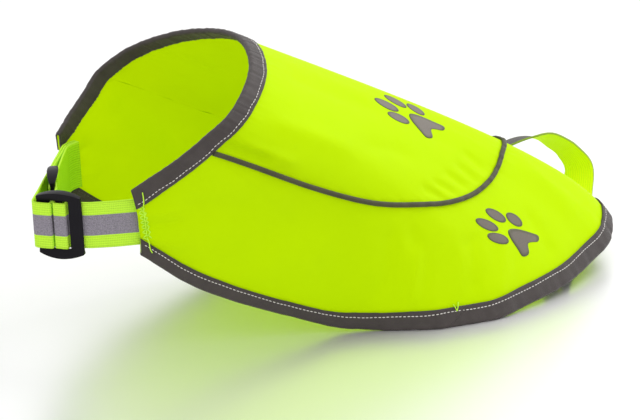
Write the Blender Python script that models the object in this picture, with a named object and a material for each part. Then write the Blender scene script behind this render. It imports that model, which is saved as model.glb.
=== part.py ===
"""Dog safety vest, filled out and standing on its hem: +X tail, -Y near side, +Z up.

The cloth is one smooth surface of gores. Each gore is a conic arc from the neck rim down to the hem, and
every panel, tape and print is laid out on it as a distance along a gore and a height off the cloth.
"""

from collections import namedtuple
from math import cos, pi, radians, sin, tan

import bmesh
import bpy
import numpy as np
from mathutils import Matrix, Vector

MM = 0.001  # tables and sizes are in millimetres, meshes in metres

# Cloth and tapes
CLOTH = 1.2  # wall of the two panels
LEAF = 1.0  # wall of a binding's leaf
GAP = 0.3  # between sewn pieces
BINDING_WIDTH = 12.0
PIPING_WIDTH = 2.8
PIPING_HEIGHT = 1.7
PIPING_EDGE = 0.3  # height of the piping where it leaves the cloth
PRESSED = 1.5  # the hem's fold is pressed flat on the surface where it would be lower than this

# Webbing
WEBBING = 1.1
CHEST_WIDTH = 30.0
BELLY_WIDTH = 20.0
BELLY_WALL = 1.3
BELLY_GORE = 3.0  # the gore at whose hem the belly strap is sewn in
BELLY_SEWN = (16.0, 8.0)  # distances up from the hem of the strap's end and of its last stitches
BELLY_HEADING = 150.0  # of the strap's width where it is sewn, along the hem
BELLY_PLAY = 1.2  # between the sewn end and the binding's inner leaf
BELLY_STATIONS = 3  # cross-sections from one stop to the next
SEWN_LENGTH = 9.0  # webbing caught inside a front tip
TIP_PLAY = 1.7  # between a front tip's bindings and the webbing inside it
TIP_RADIUS = 12.0  # of the webbing's bend as it leaves a tip
CHEST_HEIGHT = 87.2  # middle of the chest webbing where it leaves the tips
CHEST_DROOP = 3.9  # degrees that the chest webbing falls towards the front
BEND_FACET = 35.0  # degrees to a facet, where the webbing bends

# Sliders, along the webbing
SIDE_BAR = 8.6
SLOT = 3.8
CENTRE_BAR = 4.6
BAR_THICKNESS = 2.0
PLATE_THICKNESS = 4.4
SLOT_HEIGHT = 31.2
PLATE_HEIGHT = 3.0
PLATE_ARCH = 2.9
SLIDER_LENGTH = 2 * SIDE_BAR + 2 * SLOT + CENTRE_BAR

# How the chest webbing passes the sliders
BAR_PLAY = 0.1  # more than the gap, between a bar and the webbing or between two layers
CENTRE_INSET = 1.0  # from the centre bar's edge to the webbing that turns round it
SIDE_INSET = 0.95  # the same at the side bar
LEAD = 3.0  # flat webbing before a slider
NEAR_BEND = 20.0
FAR_BEND = 6.0
LOOP_BEND = 10.0
WRAP_BEND = 3.0  # radius of the front webbing's bend behind the near slider
WRAP_LEAD = 2.2
WRAP_LIFT = 0.8
WRAP_TURN = 3.4

# Reflective prints
PRINT_HEIGHT = 0.7
PRINT_LIFT = 0.6

# One gore a row, from the centre back to the front tip. Each leaves the neck rim towards its shoulder point
# and comes from there to the hem; fullness pulls it to that point, and seam is how far down the piping is,
# with its line carried on past the rim on the front gores.
Gore = namedtuple("Gore", "rim_x rim_y rim_z shoulder_x shoulder_y shoulder_z hem_x hem_y hem_z full seam")
GORES = [
    Gore(-99, 0, 176.5, 134, 0, 62, 158, 0, 21, 1.25, 206),
    Gore(-100, 11.5, 176, 128, 14, 58, 147, 27, 14.5, 1.25, 200.5),
    Gore(-102.5, 23, 174.5, 111, 30, 52, 122, 48, 9, 1.25, 194),
    Gore(-107, 36, 171.5, 86, 46, 51, 97, 66, 5.5, 1.25, 182.5),
    Gore(-115.5, 50.5, 167, 57, 58.5, 57, 64, 82, 3, 1.25, 166.5),
    Gore(-127, 63.5, 160.5, 27, 66.5, 66, 30, 93, 0.4, 1.25, 145),
    Gore(-135.5, 70.5, 155.5, -5, 72, 71, 0, 93, 0.4, 1.25, 119.5),
    Gore(-146, 75, 149.5, -40, 76, 74, -29, 84, 0.3, 1.25, 77.5),
    Gore(-160, 76, 140.5, -78, 77.5, 78, -56.5, 73, 2, 1.25, 13.5),
    Gore(-174.5, 70, 127.5, -116, 76.5, 83.5, -94, 67, 14, 1.25, -50),
    Gore(-187, 63.5, 117.5, -155, 71, 87, -154, 61, 40, 1.25, -50),
    Gore(-197, 57, 109, -193, 62, 89, -191, 57.5, 66.5, 1.25, -50),
]
LAST = len(GORES) - 1
ARC_STEPS = 40  # chords that a gore's length is measured with
NEIGHBOUR = 0.02  # gores, and share of a gore, either side of a point that its normal is taken over

# Paw prints: where the middle of the print sits (gore, distance from the rim) and how far it is turned
Print = namedtuple("Print", "name gore down turn")
PRINTS = [
    Print("back", 1.42, 137.7, -27.5),
    Print("flank", 3.36, 222.7, 4.3),
]
PAD_SIDES = 10
PRINT_LEAN = 0.2  # how far the motif leans to one side
PRINT_WIDTH = 0.78  # its width, as a share of the pads' table
# One pad a row, in a print that points along +x: middle, length, width and turn in degrees
Pad = namedtuple("Pad", "name x y length width turn")
PADS = [
    Pad("toe_a", 12.5, -15.5, 15, 8, -34),
    Pad("toe_b", 25, -8.5, 16, 9, -14),
    Pad("toe_c", 25, 8.5, 16, 9, 14),
    Pad("toe_d", 12.5, 15.5, 15, 8, 34),
]
# Outline of the main pad, from its front point round one lobe to the notch between the lobes
Corner = namedtuple("Corner", "x y")
MAIN_PAD = [Corner(11, 0), Corner(7, 6.5), Corner(-3, 12), Corner(-9, 14.5), Corner(-11, 8.5), Corner(-6, 0)]

# Route of the belly strap, from inside the far hem to inside the near one: middle of the strap, then the
# plan heading of its width and how far that width is banked, in degrees
Stop = namedtuple("Stop", "x y z heading bank")
BELLY_ROUTE = [
    Stop(92.8, 59.2, 4, 150, 0),
    Stop(96, 64.5, 1.2, 150, 0),
    Stop(103, 76, 2, 148, 0),
    Stop(109, 88, 9, 120, 0),
    Stop(114, 93, 24, 80, 0),
    Stop(121, 92, 37, 55, -3),
    Stop(133, 87, 44.5, 55, -5),
    Stop(145, 80, 48, 65, -21),
    Stop(155, 74, 46.5, 88, -40),
    Stop(163, 68, 40.5, 112, -22),
    Stop(168, 61, 30, 125, -6),
    Stop(162, 51, 17, 138, 0),
    Stop(153, 36, 5, 146, 0),
    Stop(143, 18, 1.2, 149, 0),
    Stop(126, -8, 1.2, 150, 0),
    Stop(108, -33, 1.4, 158, 0),
    Stop(96, -50, 2.9, 190, 0),
    Stop(92.2, -57.4, 5.6, 208, 0),
]

# Places of the sliders in plan: middle, and heading of the webbing through them in degrees
NEAR_SLIDER = (-234.0, -33.0, 135.0)
FAR_SLIDER = (-222.0, 3.0, 64.3)

# Colours, roughness and metallic value, by finish
FINISHES = {
    "cloth": ((0.62, 0.86, 0.0, 1), 0.6, 0.0),
    "binding": ((0.10, 0.09, 0.09, 1), 0.5, 0.0),
    "piping": ((0.09, 0.10, 0.05, 1), 0.5, 0.0),
    "webbing": ((0.35, 0.80, 0.03, 1), 0.7, 0.0),
    "plastic": ((0.02, 0.017, 0.022, 1), 0.35, 0.0),
    "print": ((0.14, 0.13, 0.12, 1), 0.45, 0.0),
}


def smooth_row(t):
    """A table row at gore number t, which may lie between two gores; never past either of them."""
    rows = np.array(GORES, float)
    side = np.array([1, -1, 1, 1, -1, 1, 1, -1, 1, 1, 1], float)
    steps = np.diff(np.vstack([rows[1] * side, rows]), axis=0)
    left, right = steps[:-1], steps[1:]
    same = left * right > 0
    slopes = np.where(same, 2 * left * right / np.where(same, left + right, 1), 0)
    slopes = np.vstack([slopes, steps[-1]])
    i = min(int(abs(t)), LAST - 1)
    f = abs(t) - i
    row = (
        rows[i] * (1 + 2 * f) * (1 - f) ** 2
        + slopes[i] * f * (1 - f) ** 2
        + rows[i + 1] * f * f * (3 - 2 * f)
        + slopes[i + 1] * f * f * (f - 1)
    )
    return row * side if t < 0 else row


GORE_CACHE = {}


def gore_line(t):
    """Points along gore t and their distances from the rim."""
    key = round(t, 6)
    if key not in GORE_CACHE:
        row = smooth_row(t)
        rim, shoulder, hem, full = row[0:3], row[3:6], row[6:9], row[9]
        s = np.linspace(0, 1, ARC_STEPS + 1)[:, None]
        a, b, c = (1 - s) ** 2, 2 * full * s * (1 - s), s**2
        line = (a * rim + b * shoulder + c * hem) / (a + b + c)
        run = np.concatenate([[0], np.cumsum(np.linalg.norm(np.diff(line, axis=0), axis=1))])
        GORE_CACHE[key] = (line, run)
    return GORE_CACHE[key]


def length(t):
    """Length of gore t, from rim to hem."""
    return gore_line(t)[1][-1]


def seam(t):
    """Distance from the rim to the piping on gore t."""
    return smooth_row(t)[10]


def bare_point(t, share):
    line, run = gore_line(t)
    return np.array([np.interp(share * run[-1], run, line[:, k]) for k in range(3)])


def cloth_point(t, down, out=0.0):
    """The point at a distance down gore t from the rim, moved out from the cloth's outer face."""
    share = min(max(down / length(t), 0), 1)
    low_t, high_t = max(t - NEIGHBOUR, -LAST), min(t + NEIGHBOUR, LAST)
    low_s, high_s = max(share - NEIGHBOUR, 0), min(share + NEIGHBOUR, 1)
    across = bare_point(high_t, share) - bare_point(low_t, share)
    along = bare_point(t, high_s) - bare_point(t, low_s)
    normal = np.cross(along, across)
    return bare_point(t, share) + normal / np.linalg.norm(normal) * out


def finish_material(name, finish):
    colour, roughness, metallic = FINISHES[finish]
    material = bpy.data.materials.new(name)
    material.use_nodes = True
    shader = material.node_tree.nodes["Principled BSDF"]
    shader.inputs["Base Color"].default_value = colour
    shader.inputs["Roughness"].default_value = roughness
    shader.inputs["Metallic"].default_value = metallic
    material.diffuse_color = colour
    return material


def add_object(name, mesh_data, finish):
    """Turns a finished bmesh in millimetres into a named object in metres."""
    bmesh.ops.triangulate(mesh_data, faces=mesh_data.faces, quad_method="SHORT_EDGE")
    bmesh.ops.recalc_face_normals(mesh_data, faces=mesh_data.faces)
    bmesh.ops.scale(mesh_data, vec=(MM, MM, MM), verts=mesh_data.verts)
    mesh = bpy.data.meshes.new(name)
    mesh_data.to_mesh(mesh)
    mesh_data.free()
    mesh.materials.append(finish_material(name, finish))
    obj = bpy.data.objects.new(name, mesh)
    bpy.context.scene.collection.objects.link(obj)
    return obj


def add_wall(name, sections, finish):
    """Lofts a wall through its sections; a section is its outer line and, point for point, its inner line."""
    mesh_data = bmesh.new()
    rings = []
    for outer, inner in sections:
        ring = [mesh_data.verts.new(p) for p in [*outer, *reversed(inner)]]
        rings.append(ring)
    count = len(rings[0])
    for ring, following in zip(rings, rings[1:]):
        for k in range(count):
            m = (k + 1) % count
            mesh_data.faces.new((ring[k], ring[m], following[m], following[k]))
    for ring in (rings[0], rings[-1]):
        for k in range(count // 2 - 1):
            mesh_data.faces.new((ring[k], ring[k + 1], ring[-2 - k], ring[-1 - k]))
    return add_object(name, mesh_data, finish)


def gores_between(start, end, per_gore):
    """Evenly spaced gore numbers from start to end."""
    return np.linspace(start, end, max(2, round(abs(end - start) * per_gore) + 1))


def panel_section(t, downs):
    """A panel's wall on gore t, with its corners at these distances from the rim."""
    outer = [cloth_point(t, d) for d in downs]
    inner = [cloth_point(t, d, -CLOTH) for d in downs]
    return outer, inner


PANEL_EDGE = LEAF + GAP  # the panels stop this far inside a binding's fold
SEAM_END_DOWN = 8.0  # the seam runs out under the neck binding at this distance from the rim
SEAM_END_GORES = (7.0, 9.0)  # the gores that it does so between
HALVINGS = 30
STEP_BACK = 0.01  # gores, by which the piping's end is found
SEAM_STEP = 0.15  # gores over which the side panel's edge steps from the seam up to the rim
SHORTEST = 4.0  # length of a wall's first facet below the seam
BACK_STEPS = 8
SIDE_STEPS = 8
MIDDLE_STATIONS = 2.6  # cross-sections to a gore, between the ends of the seam
FRONT_STATIONS = 3.0  # the same in front of them


def seam_end():
    """The gore on which the piping reaches the neck binding."""
    low, high = SEAM_END_GORES
    for _ in range(HALVINGS):
        middle = (low + high) / 2
        low, high = (middle, high) if seam(middle) > SEAM_END_DOWN else (low, middle)
    return low


def make_back_panel(middle):
    sections = []
    for t in middle:
        stop = seam(t) - GAP / 2
        first = min(BINDING_WIDTH, (PANEL_EDGE + stop) / 2)
        sections.append(panel_section(t, [PANEL_EDGE, *np.linspace(first, stop, BACK_STEPS)]))
    return add_wall("back_panel", sections, "cloth")


def make_side_panel(middle, front):
    sections = []
    for t in [*-front[::-1], *middle, *front]:
        start = seam(t) + GAP / 2 if abs(t) < front[0] else PANEL_EDGE
        first = max(BINDING_WIDTH, start + SHORTEST)
        last = length(t) - BINDING_WIDTH
        downs = [start, *np.linspace(first, last, SIDE_STEPS), length(t) - PANEL_EDGE]
        sections.append(panel_section(t, downs))
    return add_wall("side_panel", sections, "cloth")


def pressed(z):
    """Height of a fold's corner after the surface has pressed it flat."""
    return 0.0 if z < PRESSED else min(z, 2 * (z - PRESSED))


def binding_section(t, from_hem):
    """Tape folded over an edge: outer leaf, fold, inner leaf."""
    high, low = GAP + LEAF, -CLOTH - GAP - LEAF
    outside = [(BINDING_WIDTH, high), (0, high), (0, low), (BINDING_WIDTH, low)]
    inside = [(BINDING_WIDTH, GAP), (LEAF, GAP), (LEAF, -CLOTH - GAP), (BINDING_WIDTH, -CLOTH - GAP)]
    lines = []
    for line in (outside, inside):
        lines.append([cloth_point(t, length(t) - d if from_hem else d, out) for d, out in line])
    if from_hem:
        for corner in lines[0][1:3]:
            corner[2] = pressed(corner[2])
    return lines


def make_bindings(steps):
    add_wall("neck_binding", [binding_section(t, False) for t in steps], "binding")
    add_wall("hem_binding", [binding_section(t, True) for t in steps], "binding")


def make_piping(end):
    """Half-round piping that straddles the seam, up to the neck binding's edge."""
    stop = end
    while seam(stop) < BINDING_WIDTH + PIPING_WIDTH / 2 + 2 * GAP:
        stop -= STEP_BACK
    angles = [0, pi / 3, 2 * pi / 3, pi]
    sections = []
    for t in gores_between(-stop, stop, MIDDLE_STATIONS):
        outer, inner = [], []
        for a in angles:
            down = seam(t) - cos(a) * PIPING_WIDTH / 2
            outer.append(cloth_point(t, down, GAP + PIPING_EDGE + sin(a) * (PIPING_HEIGHT - PIPING_EDGE)))
            inner.append(cloth_point(t, down, GAP))
        sections.append((outer, inner))
    return add_wall("piping", sections, "piping")


def rounded(corners):
    """A path in plan through corners (x, y, radius), each turned with an arc of its radius."""
    points = [Vector(corners[0][:2])]
    for before, corner, after in zip(corners, corners[1:], corners[2:]):
        here = Vector(corner[:2])
        back = (Vector(before[:2]) - here).normalized()
        ahead = (Vector(after[:2]) - here).normalized()
        turn = pi - back.angle(ahead)
        cut = corner[2] * tan(turn / 2)
        steps = max(2, round(turn / radians(BEND_FACET)))
        centre = here + (back + ahead).normalized() * (corner[2] / cos(turn / 2))
        first = here + back * cut - centre
        side = 1 if back.cross(ahead) < 0 else -1
        points += [centre + Matrix.Rotation(side * turn * k / steps, 2) @ first for k in range(steps + 1)]
    return [*points, Vector(corners[-1][:2])]


def droop(point):
    """Turns a point of the level chest webbing down about the line between the front tips."""
    pivot = Vector((GORES[-1].rim_x, 0, CHEST_HEIGHT))
    return pivot + Matrix.Rotation(-radians(CHEST_DROOP), 3, "Y") @ (Vector(point) - pivot)


def make_chest_webbing(name, corners):
    path = rounded(corners)
    sections = []
    for k, here in enumerate(path):
        along = path[min(k + 1, len(path) - 1)] - path[max(k - 1, 0)]
        side = Vector((-along.y, along.x)).normalized() * WEBBING / 2
        lines = []
        for face in (here + side, here - side):
            edges = (CHEST_HEIGHT + CHEST_WIDTH / 2, CHEST_HEIGHT, CHEST_HEIGHT - CHEST_WIDTH / 2)
            lines.append([droop((face.x, face.y, z)) for z in edges])
        sections.append(lines)
    return add_wall(name, sections, "webbing")


def slider_place(slider):
    """A function from slider sizes (along the webbing from its first end, outwards) to plan coordinates."""
    x, y, heading = slider
    along = Vector((cos(radians(heading)), sin(radians(heading))))
    outwards = Vector((-along.y, along.x))
    start = Vector((x, y)) - along * SLIDER_LENGTH / 2
    return lambda u, v, radius=1.0: (*(start + along * u + outwards * v), radius)


def make_slider(name, slider):
    """Three bars between two arched end plates, as a grid of cells with two left out for the slots."""
    place = slider_place(slider)
    edges = [0, SIDE_BAR, SIDE_BAR + SLOT]
    columns = [0, SIDE_BAR / 2, *edges[1:], SLIDER_LENGTH / 2]
    columns += [SLIDER_LENGTH - u for u in reversed(columns[:-1])]
    slots = {2, 5}
    half = SLOT_HEIGHT / 2
    mesh_data = bmesh.new()
    grid = {}
    for i, u in enumerate(columns):
        arch = PLATE_ARCH * (1 - (2 * u / SLIDER_LENGTH - 1) ** 2)
        for j, z in enumerate((-half - PLATE_HEIGHT - arch, -half, half, half + PLATE_HEIGHT + arch)):
            thick = PLATE_THICKNESS if j in (0, 3) else BAR_THICKNESS
            for face in (-1, 1):
                x, y, _ = place(u, face * thick / 2)
                grid[i, j, face] = mesh_data.verts.new(droop((x, y, CHEST_HEIGHT + z)))
    cells = {(i, j) for i in range(len(columns) - 1) for j in range(3) if not (j == 1 and i in slots)}
    for i, j in cells:
        corners = ((i, j), (i + 1, j), (i + 1, j + 1), (i, j + 1))
        for face in (-1, 1):
            mesh_data.faces.new([grid[a, b, face] for a, b in corners])
        neighbours = ((i, j - 1), (i + 1, j), (i, j + 1), (i - 1, j))
        for k, other in enumerate(neighbours):
            if other not in cells:
                (a, b), (c, d) = corners[k], corners[(k + 1) % 4]
                mesh_data.faces.new((grid[a, b, -1], grid[c, d, -1], grid[c, d, 1], grid[a, b, 1]))
    return add_object(name, mesh_data, "plastic")


def inside_tip(side, back, depth):
    """Plan place inside a front tip: how far behind its edge and how deep under the cloth's outer face."""
    middle = length(LAST) / 2
    edge = cloth_point(LAST, middle)
    behind = cloth_point(LAST - 0.5, length(LAST - 0.5) * 0.5)
    along = Vector((behind[0] - edge[0], behind[1] - edge[1])).normalized()
    inwards = Vector((along.y, -along.x)) if along.x > 0 else Vector((-along.y, along.x))
    place = Vector(edge[:2]) + along * back + inwards * depth
    return (place.x, side * place.y, TIP_RADIUS)


def make_chest_straps():
    """Webbing through the sliders: layers pass a bar at its face, half a thickness and a gap away."""
    near, far = slider_place(NEAR_SLIDER), slider_place(FAR_SLIDER)
    close = BAR_THICKNESS / 2 + GAP + BAR_PLAY + WEBBING / 2
    layer = WEBBING + GAP + BAR_PLAY
    first_slot = SIDE_BAR + SLOT / 2
    second_slot = SIDE_BAR + SLOT + CENTRE_BAR
    at_centre_bar = second_slot + CENTRE_INSET
    at_side_bar = second_slot + SLOT - SIDE_INSET
    seat = CLOTH + GAP + LEAF + TIP_PLAY + WEBBING / 2
    far_seat = seat + layer + 2 * GAP
    make_chest_webbing(
        "strap_near",
        [
            inside_tip(-1, SEWN_LENGTH, seat),
            inside_tip(-1, 0, seat),
            near(-LEAD, -close, NEAR_BEND),
            near(first_slot, -close),
            near(first_slot, close),
            near(at_centre_bar, close),
            near(at_centre_bar, -close - layer),
            near(SIDE_BAR / 4, -close - layer),
        ],
    )
    make_chest_webbing(
        "strap_front",
        [
            inside_tip(1, SEWN_LENGTH, seat),
            inside_tip(1, 0, seat),
            near(SLIDER_LENGTH + WRAP_LEAD, close + WRAP_LIFT, WRAP_TURN),
            near(at_side_bar, close + WRAP_LIFT),
            near(at_side_bar, -close - WRAP_BEND, WRAP_BEND),
            far(-LEAD, -close, FAR_BEND),
            far(first_slot, -close),
            far(first_slot, close),
            far(SIDE_BAR / 4, close),
        ],
    )
    make_chest_webbing(
        "strap_far",
        [
            inside_tip(1, SEWN_LENGTH, far_seat),
            inside_tip(1, 0, far_seat),
            far(SLIDER_LENGTH + LEAD, close, LOOP_BEND),
            far(at_side_bar, close),
            far(at_side_bar, -close),
            far(SLIDER_LENGTH + LEAD, -close, LOOP_BEND),
            inside_tip(1, 0, far_seat + layer),
            inside_tip(1, SEWN_LENGTH, far_seat + layer),
        ],
    )
    make_slider("slider_near", NEAR_SLIDER)
    make_slider("slider_far", FAR_SLIDER)


def route_point(table, s):
    """A smooth curve through a table's rows, at row number s."""
    rows = np.array(table, float)
    i = min(int(s), len(rows) - 2)
    f = s - i
    padded = np.vstack([2 * rows[0] - rows[1], rows, 2 * rows[-1] - rows[-2]])
    a, b, c, d = padded[i : i + 4]
    return 0.5 * (2 * b + (c - a) * f + (2 * a - 5 * b + 4 * c - d) * f**2 + (3 * b - a - 3 * c + d) * f**3)


def sewn_stop(side, up, heading):
    """A stop of the belly strap against the hem binding's inner leaf, some way up from the hem."""
    depth = CLOTH + 2 * GAP + LEAF + BELLY_WALL / 2 + BELLY_PLAY
    t = side * BELLY_GORE
    return Stop(*cloth_point(t, length(t) - up, -depth), heading, 0)


def make_belly_strap():
    route = [sewn_stop(1, up, BELLY_HEADING) for up in BELLY_SEWN]
    route += BELLY_ROUTE
    route += [sewn_stop(-1, up, 360 - BELLY_HEADING) for up in reversed(BELLY_SEWN)]
    sections = []
    last = len(route) - 1
    for s in np.linspace(0, last, last * BELLY_STATIONS + 1):
        row = route_point(route, s)
        before, after = max(s - NEIGHBOUR, 0), min(s + NEIGHBOUR, last)
        ahead = route_point(route, after)[:3] - route_point(route, before)[:3]
        along = Vector(ahead).normalized()
        heading, bank = radians(row[3]), radians(row[4])
        across = Vector((cos(heading) * cos(bank), sin(heading) * cos(bank), sin(bank)))
        across = (across - along * across.dot(along)).normalized()
        face = along.cross(across) * BELLY_WALL / 2
        centre = Vector(row[:3])
        edges = [across * BELLY_WIDTH / 2, across * 0, across * -BELLY_WIDTH / 2]
        sections.append(([centre + e + face for e in edges], [centre + e - face for e in edges]))
    return add_wall("belly_strap", sections, "webbing")


def make_print(name, print_row, side):
    """One paw print: pads are laid out flat round the print's middle and set down on the cloth."""
    t, down = print_row.gore * side, print_row.down
    rise = Vector(cloth_point(t, down - 1)) - Vector(cloth_point(t, down + 1))
    per_gore = Vector(cloth_point(t + NEIGHBOUR, down)) - Vector(cloth_point(t - NEIGHBOUR, down))
    per_gore /= 2 * NEIGHBOUR
    skew = per_gore.dot(rise.normalized())
    spread = (per_gore - rise.normalized() * skew).length
    outlines = {}
    for pad in PADS:
        turn = radians(pad.turn)
        ring = []
        for k in range(PAD_SIDES):
            a = 2 * pi * k / PAD_SIDES
            u, v = cos(a) * pad.length / 2, sin(a) * pad.width / 2
            ring.append((pad.x + u * cos(turn) - v * sin(turn), pad.y + u * sin(turn) + v * cos(turn)))
        outlines[pad.name] = ring
    outlines["main_pad"] = [*MAIN_PAD, *[Corner(c.x, -c.y) for c in reversed(MAIN_PAD[1:-1])]]
    turn = radians(print_row.turn)
    for pad_name, ring in outlines.items():
        middle = (sum(x for x, _ in ring) / len(ring), sum(y for _, y in ring) / len(ring))
        mesh_data = bmesh.new()
        layers = []
        for out in (PRINT_LIFT, PRINT_LIFT + PRINT_HEIGHT):
            verts = []
            for x, y in [middle, *ring]:
                ahead, aside = x + PRINT_LEAN * y, PRINT_WIDTH * y + PRINT_LEAN * x
                along = ahead * cos(turn) - aside * sin(turn)
                across = ahead * sin(turn) + aside * cos(turn)
                shift = side * across / spread
                place = cloth_point(t + shift, down + shift * skew - along, out)
                verts.append(mesh_data.verts.new(place))
            layers.append(verts)
        count = len(ring)
        for k in range(1, count + 1):
            m = k % count + 1
            mesh_data.faces.new((layers[0][0], layers[0][k], layers[0][m]))
            mesh_data.faces.new((layers[1][0], layers[1][m], layers[1][k]))
            mesh_data.faces.new((layers[0][k], layers[0][m], layers[1][m], layers[1][k]))
        add_object(f"{name}_{pad_name}", mesh_data, "print")


def centre_on_origin():
    """Hangs every piece on one empty, which puts the middle of the vest's footprint at the origin."""
    pieces = list(bpy.context.scene.objects)
    corners = np.array([v.co for obj in pieces for v in obj.data.vertices])
    low, high = corners.min(axis=0), corners.max(axis=0)
    frame = bpy.data.objects.new("vest_frame", None)
    bpy.context.scene.collection.objects.link(frame)
    frame.location = (-(low[0] + high[0]) / 2, -(low[1] + high[1]) / 2, -low[2])
    for obj in pieces:
        obj.parent = frame


def main():
    for obj in list(bpy.data.objects):
        bpy.data.objects.remove(obj)
    end = seam_end()
    middle = gores_between(-end, end, MIDDLE_STATIONS)
    front = gores_between(end + SEAM_STEP, LAST, FRONT_STATIONS)
    make_back_panel(middle)
    make_side_panel(middle, front)
    make_bindings([*-front[::-1], *middle, *front])
    make_piping(end)
    make_chest_straps()
    make_belly_strap()
    for row in PRINTS:
        for side, word in ((-1, "near"), (1, "far")):
            make_print(f"paw_{row.name}_{word}", row, side)
    centre_on_origin()


main()
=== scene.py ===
from math import cos, pi, radians, sin, tan

import bmesh
import bpy
import numpy as np
from mathutils import Matrix, Vector


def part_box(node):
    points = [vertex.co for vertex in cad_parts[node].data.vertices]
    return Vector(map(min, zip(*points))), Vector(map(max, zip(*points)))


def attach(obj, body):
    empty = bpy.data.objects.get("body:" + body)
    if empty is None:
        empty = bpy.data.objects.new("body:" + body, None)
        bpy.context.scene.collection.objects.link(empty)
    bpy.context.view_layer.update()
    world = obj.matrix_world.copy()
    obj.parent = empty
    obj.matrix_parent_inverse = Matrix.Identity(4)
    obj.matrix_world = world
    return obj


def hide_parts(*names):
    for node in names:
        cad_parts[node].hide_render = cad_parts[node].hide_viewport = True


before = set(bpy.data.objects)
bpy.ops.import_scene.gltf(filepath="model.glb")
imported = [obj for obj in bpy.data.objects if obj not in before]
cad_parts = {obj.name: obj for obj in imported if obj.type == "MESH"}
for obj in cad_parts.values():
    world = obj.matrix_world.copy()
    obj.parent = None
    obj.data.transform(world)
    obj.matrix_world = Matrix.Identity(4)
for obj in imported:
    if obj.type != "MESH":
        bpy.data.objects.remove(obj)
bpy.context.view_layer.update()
mm = 0.001

# One gore a row, from the centre back to the front tip, as the solids are laid out, in millimetres. Each
# leaves the neck rim towards its shoulder point and comes from there to the hem. Seam is how far down it
# the piping is, with its line carried on past the rim on the front gores.
goreColumns = "rimX rimY rimZ shoulderX shoulderY shoulderZ hemX hemY hemZ fullness seam".split()
goreRows = np.array(
    [
        (-99, 0, 176.5, 134, 0, 62, 158, 0, 21, 1.25, 206),
        (-100, 11.5, 176, 128, 14, 58, 147, 27, 14.5, 1.25, 200.5),
        (-102.5, 23, 174.5, 111, 30, 52, 122, 48, 9, 1.25, 194),
        (-107, 36, 171.5, 86, 46, 51, 97, 66, 5.5, 1.25, 182.5),
        (-115.5, 50.5, 167, 57, 58.5, 57, 64, 82, 3, 1.25, 166.5),
        (-127, 63.5, 160.5, 27, 66.5, 66, 30, 93, 0.4, 1.25, 145),
        (-135.5, 70.5, 155.5, -5, 72, 71, 0, 93, 0.4, 1.25, 119.5),
        (-146, 75, 149.5, -40, 76, 74, -29, 84, 0.3, 1.25, 77.5),
        (-160, 76, 140.5, -78, 77.5, 78, -56.5, 73, 2, 1.25, 13.5),
        (-174.5, 70, 127.5, -116, 76.5, 83.5, -94, 67, 14, 1.25, -50),
        (-187, 63.5, 117.5, -155, 71, 87, -154, 61, 40, 1.25, -50),
        (-197, 57, 109, -193, 62, 89, -191, 57.5, 66.5, 1.25, -50),
    ],
    float,
)
goreSides = np.array([1 if name not in ("rimY", "shoulderY", "hemY") else -1 for name in goreColumns])
tip = len(goreRows) - 1  # number of the gore at a front tip; the near side's gores are negative
cloth = dict(
    wall=1.2,  # both panels
    leaf=1.0,  # of the tapes, in the solids
    gap=0.3,  # between the cloth and a leaf
    seamEnd=8.08,  # gore where the piping meets the neck edge
    edge=1.3,  # from a panel's edge to the fold of its tape
)


def goreValues(t):
    # a smooth row between the rows, never past either of them
    steps = np.diff(np.vstack([goreRows[1] * goreSides, goreRows]), axis=0)
    before, after = steps[:-1], steps[1:]
    same = before * after > 0
    slopes = np.where(same, 2 * before * after / np.where(same, before + after, 1), 0)
    slopes = np.vstack([slopes, steps[-1]])
    t = np.atleast_1d(np.asarray(t, float))
    i = np.minimum(np.abs(t).astype(int), tip - 1)
    f = (np.abs(t) - i)[:, None]
    row = goreRows[i] * (1 + 2 * f) * (1 - f) ** 2 + slopes[i] * f * (1 - f) ** 2
    row += goreRows[i + 1] * f * f * (3 - 2 * f) + slopes[i + 1] * f * f * (f - 1)
    return row * np.where(t[:, None] < 0, goreSides, 1)


# The cloth's outer face is worked out once, as a table: gores by shares of a gore's length
finest = dict(gores=1101, shares=241, curve=81)
goreNumbers = np.linspace(-tip, tip, finest["gores"])
shares = np.linspace(0, 1, finest["shares"])


def layCloth():
    rows = goreValues(goreNumbers)
    s = np.linspace(0, 1, finest["curve"])[None, :, None]
    full = rows[:, 9][:, None, None]
    a, b, c = (1 - s) ** 2, 2 * full * s * (1 - s), s**2
    lines = (a * rows[:, None, 0:3] + b * rows[:, None, 3:6] + c * rows[:, None, 6:9]) / (a + b + c)
    runs = np.cumsum(np.linalg.norm(np.diff(lines, axis=1), axis=2), axis=1)
    table = np.empty((len(goreNumbers), len(shares), 3))
    for n, (line, run) in enumerate(zip(lines, runs)):
        run = np.concatenate([[0], run])
        for k in range(3):
            table[n, :, k] = np.interp(shares * run[-1], run, line[:, k])
    normals = np.cross(np.gradient(table, axis=1), np.gradient(table, axis=0))
    return table, normals / np.linalg.norm(normals, axis=2)[:, :, None], runs[:, -1]


clothTable, clothNormals, goreLengths = layCloth()


def goreLength(t):
    return np.interp(t, goreNumbers, goreLengths)


def seamDown(t):
    return np.interp(t, goreNumbers, goreValues(goreNumbers)[:, 10])


def fromTable(table, t, share):
    x = (np.clip(t, -tip, tip) + tip) / (2 * tip) * (len(goreNumbers) - 1)
    y = np.clip(share, 0, 1) * (len(shares) - 1)
    i = np.minimum(x.astype(int), len(goreNumbers) - 2)
    j = np.minimum(y.astype(int), len(shares) - 2)
    f, g = (x - i)[:, None], (y - j)[:, None]
    near = table[i, j] * (1 - g) + table[i, j + 1] * g
    return near * (1 - f) + (table[i + 1, j] * (1 - g) + table[i + 1, j + 1] * g) * f


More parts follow.
